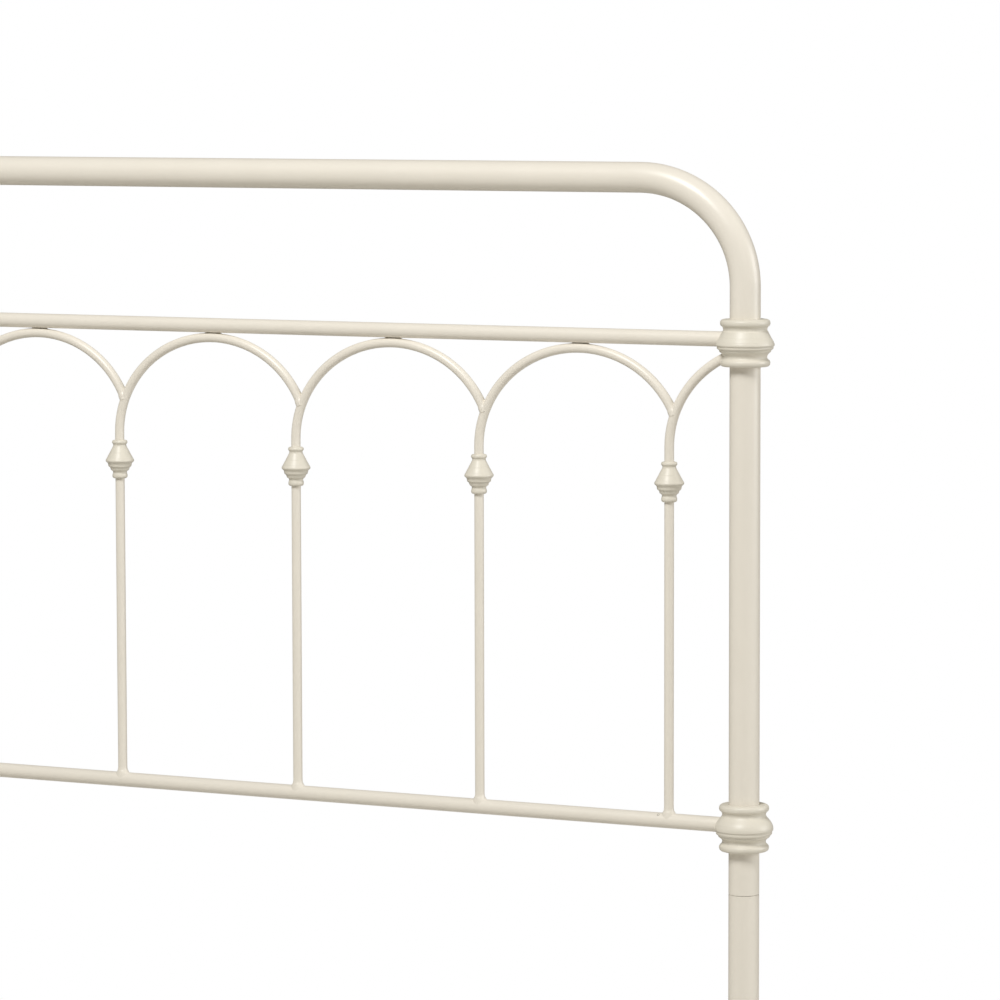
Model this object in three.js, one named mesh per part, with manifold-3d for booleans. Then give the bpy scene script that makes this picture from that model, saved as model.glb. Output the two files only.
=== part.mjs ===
// A queen-size metal bed frame: a tall headboard and a low footboard of bent steel tube with an arcade of
// hooped bars, cast collars and cast knots, joined by two hook-in angle-iron side rails and three cross slats.
// Millimetres, +Z up. X runs across the bed, Y along it, with the headboard at +Y and the floor at Z = 0.
import * as THREE from "three";
import { mergeVertices } from "three/addons/utils/BufferGeometryUtils.js";
import Module from "manifold-3d";

const wasm = await Module();
wasm.setup();

// ---------------------------------------------------------------- driving dimensions
const GAP = 0.3; // clearance left between pieces that touch
const SPINDLES = 6;
const SPACING = 265; // from one spindle to the next
const END_BAY = 102.5; // from the last spindle to the post beside it
const POST_SPAN = (SPINDLES - 1) * SPACING + 2 * END_BAY; // between post centrelines
const BOARD_Y = 1055; // headboard plane at +BOARD_Y, footboard plane at -BOARD_Y

const POST_R = 19.05; // 38.1 mm tube: bows, posts and legs
const POST_WALL = 1.5;
const RAIL_R = 9.5; // 19 mm tube: the cross rails of both boards
const RAIL_WALL = 1.2;
const BAR_R = 6; // 12 mm bar: hoops and spindles
const BEND_SPAN = 142; // how far in from the post each of a bow's bends reaches
const BEND_RISE = 133; // and how far down from its top
const PANEL_TOP = 197.5; // from the middle rail up to the bow's top

const HOOP_HALF = 141; // half the span of a hoop
const SPRINGING = 143.7; // from the middle rail down to where the hoops start to bend
const HOOP_RISE = SPRINGING - RAIL_R - BAR_R - GAP; // the crowns are welded under the middle rail
const END_STILT = 8; // extra straight length of the hoop that ends in the right-hand collar

const KNOT_DROP = 178.7; // from the middle rail down to the knots' centres
const KNOT_HALF = 25.5; // half the height of a knot
const SOCKET = 12; // depth of a knot's sockets
const UPPER_COLLAR_DROP = 3.9; // each collar's middle is this much below its rail
const LOWER_COLLAR_DROP = 1.3;
const COLLAR_HALF = 29.1; // half the height of a collar

const LEG_FLOOR = 10.3; // height of every post's lower end with its foot screwed home
const HEAD = { name: "headboard", lower: 520, middle: 1123.7, bottom: 435.5 };
const FOOT = { name: "footboard", lower: 330, middle: 683, bottom: LEG_FLOOR };

const PLUG = 6; // thickness of the threaded plug that closes a leg
const STEM_R = 5; // stem of a levelling foot
const SPIGOT = 60; // length of the headboard leg's swaged end, up inside the bow
const BOLT_R = 3;
const BOLT_Z = HEAD.bottom + 25; // height of the bolts that lock the swaged ends

const RAIL_X = 768; // outer face of a side rail's upright flange
const RAIL_Z = 185; // underside of a side rail
const RAIL_TALL = 45;
const RAIL_WIDE = 41;
const RAIL_THICK = 3;
const WEB_OUT = 35; // from a post's centreline to the front of its bracket
const BRACKET_HALF = 17; // half the width of a bracket
const BRACKET_Z = [164, 244];
const PLATE = 3; // thickness of brackets, end plates and hooks
const HOOK_Z = [180, 212]; // underside of each hook's tab
const TAB_TALL = 13;
const LIP = 7; // how far a hook drops behind its bracket

const SLAT_Y = { head: 550, middle: 0, foot: -550 };
const SLAT_WIDE = 40;
const SLAT_TALL = 18;
const SLAT_WALL = 1.5;
const PROP_R = 12.7; // support leg under each slat

// ---------------------------------------------------------------- materials
const coat = new THREE.MeshStandardMaterial({ color: "#e4ddca", roughness: 0.38, metalness: 0 });
const railCoat = new THREE.MeshStandardMaterial({ color: "#ddd6c3", roughness: 0.5, metalness: 0 });
const nylon = new THREE.MeshStandardMaterial({ color: "#2a2927", roughness: 0.6, metalness: 0 });
const zinc = new THREE.MeshStandardMaterial({ color: "#b9bbbd", roughness: 0.35, metalness: 0.9 });

// ---------------------------------------------------------------- helpers
// A closed three.js geometry as a solid that can be joined and cut.
function solid(geometry) {
  const bare = geometry.clone();
  for (const key of Object.keys(bare.attributes)) if (key !== "position") bare.deleteAttribute(key);
  const merged = mergeVertices(bare, 1e-4);
  const vertProperties = merged.attributes.position.array;
  const triVerts = new Uint32Array(merged.index.array);
  return new wasm.Manifold(new wasm.Mesh({ numProp: 3, vertProperties, triVerts }));
}

function geometryOf(body) {
  const mesh = body.getMesh();
  const geometry = new THREE.BufferGeometry();
  geometry.setAttribute("position", new THREE.BufferAttribute(mesh.vertProperties, 3));
  geometry.setIndex(new THREE.BufferAttribute(mesh.triVerts, 1));
  geometry.computeVertexNormals();
  return geometry;
}

function named(name, shape, material) {
  const mesh = new THREE.Mesh(shape.isBufferGeometry ? shape : geometryOf(shape), material);
  mesh.name = name;
  return mesh;
}

// An upright solid of revolution about Z from [radius, height] pairs that run anticlockwise.
function turned(points, sides) {
  const profile = points.map(([r, z]) => new THREE.Vector2(r, z));
  return new THREE.LatheGeometry(profile, sides).rotateX(Math.PI / 2);
}

function block(x0, x1, y0, y1, z0, z1) {
  const box = new THREE.BoxGeometry(x1 - x0, y1 - y0, z1 - z0);
  return solid(box.translate((x0 + x1) / 2, (y0 + y1) / 2, (z0 + z1) / 2));
}

// Radius of an n-sided bore or cutter whose flats still clear a round of the given radius.
function clear(radius, sides) {
  return (radius + GAP) / Math.cos(Math.PI / sides);
}

function ring(radius, sides) {
  const angle = (i) => (2 * Math.PI * (i + 0.5)) / sides;
  return Array.from({ length: sides }, (_, i) => [radius * Math.cos(angle(i)), radius * Math.sin(angle(i))]);
}

// Round section of a bar, or of a tube when a bore is given.
function section(radius, bore, sides) {
  const points = (r) => ring(r, sides).map(([x, y]) => new THREE.Vector2(x, y));
  const shape = new THREE.Shape(points(radius));
  if (bore) shape.holes.push(new THREE.Path(points(bore)));
  return shape;
}

// Part of an ellipse in the plane Y = 0, from one angle to another, with 0 at the left-hand end.
class Bend extends THREE.Curve {
  constructor(x, z, halfSpan, rise, from, to) {
    super();
    Object.assign(this, { x, z, halfSpan, rise, from, to });
  }
  getPoint(t) {
    const angle = this.from + (this.to - this.from) * t;
    const x = this.x - this.halfSpan * Math.cos(angle);
    return new THREE.Vector3(x, 0, this.z + this.rise * Math.sin(angle));
  }
}

// Straight and bent pieces end to end, each taking its own number of steps.
class Route extends THREE.Curve {
  constructor(...pieces) {
    super();
    this.pieces = pieces;
    this.steps = pieces.reduce((sum, [, steps]) => sum + steps, 0);
  }
  getPoint(t) {
    let at = t * this.steps;
    for (const [curve, steps] of this.pieces) {
      if (at <= steps) return curve.getPoint(at / steps);
      at -= steps;
    }
    return this.pieces.at(-1)[0].getPoint(1);
  }
  getPointAt(u) {
    return this.getPoint(u);
  }
  getTangentAt(u) {
    return this.getTangent(u);
  }
}

function straight(x0, z0, x1, z1) {
  return new THREE.LineCurve3(new THREE.Vector3(x0, 0, z0), new THREE.Vector3(x1, 0, z1));
}

// Tube or bar along a route.
function along(route, radius, bore, sides) {
  return new THREE.ExtrudeGeometry(section(radius, bore, sides), { steps: route.steps, extrudePath: route });
}

// Straight tube or bar along Z, or along X with its middle at X = 0.
function upright(radius, bore, sides, z0, z1) {
  const options = { depth: z1 - z0, bevelEnabled: false };
  return new THREE.ExtrudeGeometry(section(radius, bore, sides), options).translate(0, 0, z0);
}

function level(radius, bore, sides, length, z) {
  return upright(radius, bore, sides, -length / 2, length / 2).rotateY(Math.PI / 2).translate(0, 0, z);
}

// ---------------------------------------------------------------- castings
// Collar round a post: a rim at each end, a neck, and a swelling in the middle. Bored for the post.
const SHARP_SWELLING = [[28, -14], [33.7, -6.9], [36.1, -2], [31.4, 7.3], [28, 14.2]];
const ROUND_SWELLING = [[28.2, -13.8], [32, -10], [34.8, -6], [36.2, -0.6], [33.6, 6.8], [28, 13.8]];

function collarGeometry(swelling) {
  const sides = 16;
  const bore = clear(POST_R, sides);
  const lowerRim = [[bore, -COLLAR_HALF], [27, -COLLAR_HALF], [31, -24.5], [27.2, -18.5]];
  const upperRim = [[27.2, 17.4], [31, 24.5], [27, COLLAR_HALF], [bore, COLLAR_HALF]];
  return turned([...lowerRim, ...swelling, ...upperRim, lowerRim[0]], sides);
}

// Knot between a spindle and a hoop: a double cone between two beads, with a socket in each end.
function knotGeometry(lowerSocket) {
  const sides = 10;
  const bore = clear(BAR_R, sides);
  const core = KNOT_HALF - SOCKET;
  const foot = lowerSocket ? [[0, -core], [bore, -core], [bore, -KNOT_HALF]] : [[0, -KNOT_HALF]];
  const cones = [[8.8, -KNOT_HALF], [9.9, -21.5], [8.6, -17], [12.2, -11], [15, -6.5], [18.4, -0.5], [14.6, 9]];
  const head = [[8.9, 19.5], [9.9, 22.5], [9, KNOT_HALF], [bore, KNOT_HALF], [bore, core], [0, core]];
  return turned([...foot, ...cones, ...head], sides);
}

// ---------------------------------------------------------------- boards
const POST_X = POST_SPAN / 2;
const HANDS = [["left", -1], ["right", 1]];
const ENDS = [["head", 1], ["foot", -1]];
const spindleX = Array.from({ length: SPINDLES }, (_, i) => -POST_X + END_BAY + i * SPACING);

function bowRoute({ middle, bottom }) {
  const top = middle + PANEL_TOP;
  const [x, z] = [POST_X - BEND_SPAN, top - BEND_RISE];
  const steps = 6;
  return new Route(
    [straight(-POST_X, bottom, -POST_X, z), 1],
    [new Bend(-x, z, BEND_SPAN, BEND_RISE, 0, Math.PI / 2), steps],
    [straight(-x, top, x, top), 1],
    [new Bend(x, z, BEND_SPAN, BEND_RISE, Math.PI / 2, Math.PI), steps],
    [straight(POST_X, z, POST_X, bottom), 1],
  );
}

// Angle at which a hoop's centreline meets that of the next one, which may stand on a stilt.
function landing(stilt) {
  let [low, high] = [0.7 * Math.PI, Math.PI];
  for (let i = 0; i < 40; i++) {
    const angle = (low + high) / 2;
    const height = HOOP_RISE * Math.sin(angle) - stilt;
    const nextX = SPACING - HOOP_HALF * Math.sqrt(1 - (height / HOOP_RISE) ** 2);
    if (-HOOP_HALF * Math.cos(angle) < nextX) low = angle;
    else high = angle;
  }
  return low;
}

// Hoops stand on the knots, and each one lands on the side of the next. Hoop 0 starts in the left-hand collar
// instead of on a knot, and the last one ends in the right-hand collar.
function hoopRoute({ middle }, index) {
  const x = -POST_X + END_BAY + (index - 1) * SPACING;
  const last = index === SPINDLES;
  const z = middle - SPRINGING + (last ? END_STILT : 0);
  const bend = (from, to) => new Bend(x + HOOP_HALF, z, HOOP_HALF, HOOP_RISE, from, to);
  const leg = straight(x, middle - KNOT_DROP + KNOT_HALF - SOCKET + GAP, x, z);
  const meetsPost = Math.acos(1 - (END_BAY - 8) / HOOP_HALF);
  if (last) return new Route([leg, 1], [bend(0, meetsPost), 5]);
  const end = landing(index === SPINDLES - 1 ? END_STILT : 0);
  if (index === 0) return new Route([bend(Math.acos(1 - (SPACING - END_BAY + 8) / HOOP_HALF), end), 4]);
  return new Route([leg, 1], [bend(0, Math.PI / 2), 5], [bend(Math.PI / 2, end), 4]);
}

const HOOP_SIDES = 8;

function hoopSpace(board, index) {
  return solid(along(hoopRoute(board, index), clear(BAR_R, HOOP_SIDES), 0, HOOP_SIDES));
}

function postSpace(side) {
  return solid(upright(clear(POST_R, 32), 0, 32, 0, 2000).translate(side * POST_X, 0, 0));
}

// Space taken by a cross rail, with the clearance round it.
function railSpace(z) {
  return solid(level(clear(RAIL_R, 16), 0, 16, POST_SPAN, z));
}

function hoop(board, index) {
  const bar = solid(along(hoopRoute(board, index), BAR_R, 0, HOOP_SIDES));
  if (index > 0 && index < SPINDLES) return bar;
  return bar.subtract(postSpace(index ? 1 : -1)).subtract(railSpace(board.middle));
}

function spindle({ lower, middle }) {
  const top = middle - KNOT_DROP - KNOT_HALF + SOCKET - GAP;
  return solid(upright(BAR_R, BAR_R - RAIL_WALL, 8, lower, top)).subtract(railSpace(lower));
}

// Tapped plug that closes the lower end of a leg, round a levelling foot's stem.
function plugProfile(radius) {
  const hole = clear(STEM_R, 16);
  return [[hole, LEG_FLOOR], [radius, LEG_FLOOR], [radius, LEG_FLOOR + PLUG], [hole, LEG_FLOOR + PLUG]];
}

// Everything the two boards have in common, standing at Y = 0.
function boardGroup(board, bow) {
  const { name, lower, middle } = board;
  const group = new THREE.Group();
  const tube = (z) => level(RAIL_R, RAIL_R - RAIL_WALL, 14, POST_SPAN - 2 * (POST_R + GAP), z);
  group.add(named(`${name}_bow`, bow, coat));
  group.add(named(`${name}_middle_rail`, tube(middle), coat));
  group.add(named(`${name}_lower_rail`, tube(lower), coat));
  for (const [hand, side] of HANDS) {
    const casting = (swelling, z, drop) => {
      const geometry = collarGeometry(swelling).translate(side * POST_X, 0, z - drop);
      return solid(geometry).subtract(railSpace(z));
    };
    const forHoop = hoopSpace(board, side < 0 ? 0 : SPINDLES);
    const upper = casting(SHARP_SWELLING, middle, UPPER_COLLAR_DROP).subtract(forHoop);
    group.add(named(`${name}_upper_collar_${hand}`, upper, coat));
    group.add(named(`${name}_lower_collar_${hand}`, casting(ROUND_SWELLING, lower, LOWER_COLLAR_DROP), coat));
  }
  return group;
}

function bowBody(board) {
  return solid(along(bowRoute(board), POST_R, POST_R - POST_WALL, 16));
}

function boltHole(x) {
  const cylinder = new THREE.CylinderGeometry(clear(BOLT_R, 12), clear(BOLT_R, 12), 20, 12);
  return solid(cylinder.translate(x, POST_R, BOLT_Z));
}

function headboard() {
  const bow = bowBody(HEAD).subtract(boltHole(-POST_X)).subtract(boltHole(POST_X));
  const group = boardGroup(HEAD, bow);
  const spindleShape = geometryOf(spindle(HEAD));
  const knotShape = knotGeometry(true);
  spindleX.forEach((x, i) => {
    const rod = named(`headboard_spindle_${i + 1}`, spindleShape, coat);
    const knot = named(`headboard_knot_${i + 1}`, knotShape, coat);
    rod.position.x = x;
    knot.position.set(x, 0, HEAD.middle - KNOT_DROP);
    group.add(rod, knot);
  });
  for (let i = 0; i <= SPINDLES; i++) {
    const bar = i < SPINDLES ? hoop(HEAD, i).subtract(hoopSpace(HEAD, i + 1)) : hoop(HEAD, i);
    group.add(named(`headboard_hoop_${i + 1}`, bar, coat));
  }
  for (const [hand, side] of HANDS) {
    const leg = named(`headboard_leg_${hand}`, headboardLeg(), coat);
    const bolt = named(`leg_bolt_${hand}`, lockBolt(), zinc);
    leg.position.x = side * POST_X;
    bolt.position.set(side * POST_X, POST_R, BOLT_Z);
    group.add(leg, bolt);
  }
  group.position.y = BOARD_Y;
  return group;
}

// The footboard's hoops are one welded arcade, and each of its spindles carries its knot.
function footboard() {
  const plug = turned([...plugProfile(POST_R - POST_WALL / 2), plugProfile(0)[0]], 16);
  const plugs = HANDS.map(([, side]) => solid(plug.clone().translate(side * POST_X, 0, 0)));
  const group = boardGroup(FOOT, plugs.reduce((body, each) => body.add(each), bowBody(FOOT)));
  const knot = solid(knotGeometry(false).translate(0, 0, FOOT.middle - KNOT_DROP));
  const rodShape = geometryOf(spindle(FOOT).add(knot));
  spindleX.forEach((x, i) => {
    const rod = named(`footboard_spindle_${i + 1}`, rodShape, coat);
    rod.position.x = x;
    group.add(rod);
  });
  const hoops = Array.from({ length: SPINDLES + 1 }, (_, i) => hoop(FOOT, i));
  group.add(named("footboard_arcade", hoops.reduce((body, each) => body.add(each)), coat));
  group.position.y = -BOARD_Y;
  return group;
}

// Leg below the headboard's joint. Its swaged end goes up inside the bow, and a tapped plug closes its foot.
function headboardLeg() {
  const sides = 16;
  const joint = HEAD.bottom - GAP;
  const bore = POST_R - POST_WALL;
  const spigot = bore * Math.cos(Math.PI / sides) - GAP;
  const [hole, rim] = plugProfile(POST_R);
  const outside = [[POST_R, joint], [spigot, joint], [spigot, joint + SPIGOT]];
  const inside = [[spigot - POST_WALL, joint + SPIGOT], [spigot - POST_WALL, joint - 4], [bore, joint - 10]];
  const plug = [[bore, LEG_FLOOR + PLUG], plugProfile(POST_R)[3]];
  return solid(turned([hole, rim, ...outside, ...inside, ...plug, hole], sides)).subtract(boltHole(0));
}

// Button-head bolt through the back of the bow into the leg's swaged end.
function lockBolt() {
  const bolt = turned([[0, -8], [BOLT_R, -8], [BOLT_R, GAP], [6, GAP], [5.6, 2.2], [3, 3.6], [0, 3.6]], 12);
  return bolt.rotateX(-Math.PI / 2);
}

// ---------------------------------------------------------------- side rails and brackets
// Slotted channel welded to a post. Made for a post on the Z axis with the bed towards -Y.
function bracketBody() {
  const [w, inner] = [BRACKET_HALF, BRACKET_HALF - PLATE];
  const corners = [[-w, -WEB_OUT], [w, -WEB_OUT], [w, -8], [inner, -8], [inner, -WEB_OUT + PLATE]];
  const channel = [...corners, [-inner, -WEB_OUT + PLATE], [-inner, -8], [-w, -8]];
  const shape = new THREE.Shape(channel.map(([x, y]) => new THREE.Vector2(x, y)));
  const [bottom, top] = BRACKET_Z;
  const extruded = new THREE.ExtrudeGeometry(shape, { depth: top - bottom, bevelEnabled: false });
  let body = solid(extruded.translate(0, 0, bottom)).subtract(postSpace(0));
  for (const z of HOOK_Z) {
    const slotTop = z + TAB_TALL + LIP + 1;
    body = body.subtract(block(-2.5, 2.5, -WEB_OUT - 1, -WEB_OUT + PLATE + 1, z - GAP, slotTop));
  }
  return body;
}

function brackets() {
  const group = new THREE.Group();
  const shape = geometryOf(bracketBody());
  for (const [hand, side] of HANDS) {
    for (const [end, way] of ENDS) {
      const bracket = named(`${end}_bracket_${hand}`, shape, coat);
      bracket.position.set(side * POST_X, way * BOARD_Y, 0);
      bracket.rotation.z = way > 0 ? 0 : Math.PI;
      group.add(bracket);
    }
  }
  return group;
}

// Angle iron with a hooked plate welded across each end. Made for the +X side.
function sideRailBody() {
  const front = BOARD_Y - WEB_OUT - GAP; // outer face of the end plate
  const behind = BOARD_Y - WEB_OUT + PLATE + GAP; // inner face of the hooks' lips
  const inside = front - PLATE;
  const top = RAIL_Z + RAIL_TALL;
  let body = block(RAIL_X - RAIL_THICK, RAIL_X, -inside - 1, inside + 1, RAIL_Z, top);
  body = body.add(block(RAIL_X - RAIL_WIDE, RAIL_X, -inside - 1, inside + 1, RAIL_Z, RAIL_Z + RAIL_THICK));
  for (const [, way] of ENDS) {
    const across = (half, near, far, z0, z1) => {
      const [y0, y1] = way > 0 ? [near, far] : [-far, -near];
      return block(POST_X - half, POST_X + half, y0, y1, z0, z1);
    };
    body = body.add(across(BRACKET_HALF, inside, front, BRACKET_Z[0] + 6, BRACKET_Z[1] - 6));
    for (const z of HOOK_Z) {
      body = body.add(across(PLATE / 2, inside + 1, behind + 4, z, z + TAB_TALL));
      body = body.add(across(PLATE / 2, behind, behind + 4, z - LIP, z + 1));
    }
  }
  return body;
}

function sideRails() {
  return HANDS.map(([hand, side]) => {
    const rail = named(`side_rail_${hand}`, sideRailBody(), railCoat);
    rail.rotation.z = side > 0 ? 0 : Math.PI;
    return rail;
  });
}

// ---------------------------------------------------------------- slats, support legs and feet
function rectangle(wide, tall) {
  const [x, y] = [wide / 2, tall / 2];
  return [[-x, -y], [x, -y], [x, y], [-x, y]].map(([px, py]) => new THREE.Vector2(px, py));
}

// Box-section slat lying in the side rails, with its support leg welded under the middle.
function slatBody() {
  const half = RAIL_X - RAIL_THICK - 3;
  const bottom = RAIL_Z + RAIL_THICK + GAP;
  const shape = new THREE.Shape(rectangle(SLAT_TALL, SLAT_WIDE));
  shape.holes.push(new THREE.Path(rectangle(SLAT_TALL - 2 * SLAT_WALL, SLAT_WIDE - 2 * SLAT_WALL)));
  const tube = new THREE.ExtrudeGeometry(shape, { depth: 2 * half, bevelEnabled: false });
  tube.translate(0, 0, -half).rotateY(Math.PI / 2).translate(0, 0, bottom + SLAT_TALL / 2);
  const bore = PROP_R - SLAT_WALL;
  const [hole, rim] = plugProfile(PROP_R);
  const plug = [[bore, LEG_FLOOR + PLUG], plugProfile(PROP_R)[3]];
  const prop = turned([hole, rim, [PROP_R, bottom + 1], [bore, bottom + 1], ...plug, hole], 16);
  return solid(tube).add(solid(prop));
}

function slats() {
  const shape = geometryOf(slatBody());
  return Object.entries(SLAT_Y).map(([place, y]) => {
    const slat = named(`slat_${place}`, shape, railCoat);
    slat.position.y = y;
    return slat;
  });
}

// Levelling foot: a nylon pad moulded on a stem.
function footGeometry(radius) {
  const top = LEG_FLOOR - GAP;
  const pad = [[0, 0], [radius - 2, 0], [radius, 2], [radius, top - 1], [radius - 1, top], [STEM_R, top]];
  return turned([...pad, [STEM_R, 52], [0, 52]], 16);
}

function feet() {
  const group = new THREE.Group();
  for (const [hand, side] of HANDS) {
    for (const [end, way] of ENDS) {
      const foot = named(`leveller_${end}_${hand}`, footGeometry(17), nylon);
      foot.position.set(side * POST_X, way * BOARD_Y, 0);
      group.add(foot);
    }
  }
  for (const [place, y] of Object.entries(SLAT_Y)) {
    const foot = named(`leveller_slat_${place}`, footGeometry(15), nylon);
    foot.position.y = y;
    group.add(foot);
  }
  return group;
}

// ---------------------------------------------------------------- the bed
const bed = new THREE.Group();
bed.add(headboard(), footboard(), brackets(), ...sideRails(), ...slats(), feet());

export default bed;
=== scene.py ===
# %% [markdown]
# # A bent-tube steel bed with arched spindle panels
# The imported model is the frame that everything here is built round. It is loaded first, its box is kept,
# and every new piece takes its place from the boxes of the nodes that it stands for.

# %% Load the frame
import math

import bmesh
import bpy
from mathutils import Matrix, Vector


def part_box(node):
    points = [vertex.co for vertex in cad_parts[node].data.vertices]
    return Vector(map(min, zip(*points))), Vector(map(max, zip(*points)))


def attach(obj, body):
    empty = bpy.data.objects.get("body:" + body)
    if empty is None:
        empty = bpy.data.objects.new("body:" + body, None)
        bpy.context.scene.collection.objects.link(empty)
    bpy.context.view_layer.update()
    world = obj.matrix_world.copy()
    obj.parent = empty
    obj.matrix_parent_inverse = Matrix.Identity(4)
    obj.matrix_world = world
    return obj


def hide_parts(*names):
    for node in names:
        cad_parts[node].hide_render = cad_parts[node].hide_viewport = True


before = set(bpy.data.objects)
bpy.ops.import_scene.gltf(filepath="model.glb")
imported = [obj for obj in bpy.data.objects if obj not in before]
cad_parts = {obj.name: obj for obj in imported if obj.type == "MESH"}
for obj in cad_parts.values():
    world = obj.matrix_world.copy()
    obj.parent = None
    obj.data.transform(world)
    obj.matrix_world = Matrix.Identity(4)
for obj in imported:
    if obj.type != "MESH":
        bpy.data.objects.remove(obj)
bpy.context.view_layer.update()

# %% [markdown]
# ## Camera
# A long lens a few metres away keeps the tubes parallel and close to their true proportions. The camera
# stands off the foot end on the right, just above the headboard's top, and turns down by about five
# degrees.

# %% Camera
FOCAL_LENGTH, SENSOR_WIDTH = 175.08, 36
CAMERA_PLACE = (3.1904, -4.3997, 1.4754)
# The picture's right-hand direction, and the direction from the scene back to the camera.
CAMERA_RIGHT, CAMERA_BACK = Vector((0.89216, 0.45172, -0.00221)), Vector((0.45, -0.88831, 0.09165))

camera_data = bpy.data.cameras.new("camera")
camera_data.lens = FOCAL_LENGTH
camera_data.sensor_width = SENSOR_WIDTH
camera = bpy.data.objects.new("camera", camera_data)
bpy.context.scene.collection.objects.link(camera)
right_axis = CAMERA_RIGHT.normalized()
up_axis = CAMERA_BACK.normalized().cross(right_axis).normalized()
turn = Matrix((right_axis, up_axis, right_axis.cross(up_axis))).transposed()
camera.matrix_world = Matrix.Translation(CAMERA_PLACE) @ turn.to_4x4()
bpy.context.scene.camera = camera
print("camera at", tuple(round(c, 3) for c in camera.location))

# %% [markdown]
# ## Materials
# The whole frame is powder coated: dry paint powder is baked on the steel, flows, and sets to a smooth
# satin-gloss skin with a fine orange-peel texture. Colours are written as sRGB hex values and turned to
# linear light once.

# %% Colour and node helpers
def linear(hex_colour):
    """sRGB hex to the linear colour that shader sockets take."""
    values = [int(hex_colour[i:i + 2], 16) / 255 for i in (1, 3, 5)]
    return [*(v / 12.92 if v <= 0.04045 else ((v + 0.055) / 1.055) ** 2.4 for v in values), 1.0]


def add(tree, kind, settings=None, **inputs):
    """Adds a node. Settings are its properties. Inputs are values, or the sockets that feed it, and
    each is given by its name, with _ for a space, or by its number after an _."""
    node = tree.nodes.new(kind)
    for key, value in (settings or {}).items():
        setattr(node, key, value)
    for key, value in inputs.items():
        name = key.replace("_", " ")
        socket = node.inputs[name if name in node.inputs else int(key[1:])]
        if isinstance(value, bpy.types.NodeSocket):
            tree.links.new(value, socket)
        else:
            socket.default_value = value
    return node


def new_material(name):
    """An empty material. Returns it with its node tree, its output and the object's own coordinates."""
    material = bpy.data.materials.new(name)
    material.use_nodes = True
    tree = material.node_tree
    tree.nodes.clear()
    output = tree.nodes.new("ShaderNodeOutputMaterial")
    where = tree.nodes.new("ShaderNodeTexCoord").outputs["Object"]
    return material, tree, output, where


def per_metre(millimetres):
    """Noise scale whose features are about this far apart."""
    return 1000 / millimetres


# %% Powder coat
def powder_coat(name, thick, thin, roughness, peel):
    """Baked paint on steel: thick and thin are its colours where the film is heavier and lighter."""
    material, tree, output, where = new_material(name)
    film = add(tree, "ShaderNodeTexNoise", Vector=where, Scale=per_metre(70), Detail=3.0)
    tone = add(tree, "ShaderNodeMix", {"data_type": "RGBA"}, _0=film.outputs["Fac"], _6=linear(thick),
               _7=linear(thin))
    # Orange peel is about 2 mm across on a coat this thick, and a finer grain lies over it.
    wave = add(tree, "ShaderNodeTexNoise", Vector=where, Scale=per_metre(2.4), Detail=1.0)
    grain = add(tree, "ShaderNodeTexNoise", Vector=where, Scale=per_metre(0.7), Detail=1.0)
    first = add(tree, "ShaderNodeBump", Height=wave.outputs["Fac"], Strength=peel, Distance=0.0002)
    both = add(tree, "ShaderNodeBump", Height=grain.outputs["Fac"], Strength=peel * 0.5, Distance=0.0001,
               Normal=first.outputs["Normal"])
    gloss = add(tree, "ShaderNodeTexNoise", Vector=where, Scale=per_metre(25), Detail=2.0)
    sheen = add(tree, "ShaderNodeMapRange", Value=gloss.outputs["Fac"], To_Min=roughness - 0.04,
                To_Max=roughness + 0.05)
    shader = add(tree, "ShaderNodeBsdfPrincipled", Base_Color=tone.outputs[2], IOR=1.5,
                 Roughness=sheen.outputs["Result"], Normal=both.outputs["Normal"])
    tree.links.new(shader.outputs[0], output.inputs["Surface"])
    return material


ivory = powder_coat("powder-coated steel, ivory", "#E8E2D6", "#EDE7DC", 0.33, 0.25)
ivory_castings = powder_coat("powder-coated iron castings", "#DDD8CA", "#E3DDD0", 0.40, 0.35)
ivory_rails = powder_coat("powder-coated angle steel", "#E1DBCC", "#E8E3D5", 0.48, 0.45)
print("powder coats:", [m.name for m in (ivory, ivory_castings, ivory_rails)])


# %% [markdown]
# The pads of the levelling feet are moulded nylon: black all through, matt, with a faint texture from the
# mould. Bolts and stems are zinc plated, which is a bright grey metal with a slightly cloudy gloss. The
# small drilled vents get a dark metal that is painted shade, standing for the dark inside of each hole and
# the tube behind it.

# %% Nylon, zinc and painted vent shade
def moulded_nylon(name, colour, scuffed):
    """Solid plastic from a mould: matt, with fine grain, and a little paler where it has been rubbed."""
    material, tree, output, where = new_material(name)
    grain = add(tree, "ShaderNodeTexNoise", Vector=where, Scale=per_metre(0.8), Detail=2.0)
    bump = add(tree, "ShaderNodeBump", Height=grain.outputs["Fac"], Strength=0.35, Distance=0.0001)
    scuffs = add(tree, "ShaderNodeTexNoise", Vector=where, Scale=per_metre(9), Detail=4.0)
    tone = add(tree, "ShaderNodeMix", {"data_type": "RGBA"}, _0=scuffs.outputs["Fac"], _6=linear(colour),
               _7=linear(scuffed))
    shader = add(tree, "ShaderNodeBsdfPrincipled", Base_Color=tone.outputs[2], Roughness=0.55, IOR=1.53,
                 Normal=bump.outputs["Normal"])
    tree.links.new(shader.outputs[0], output.inputs["Surface"])
    return material


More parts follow.
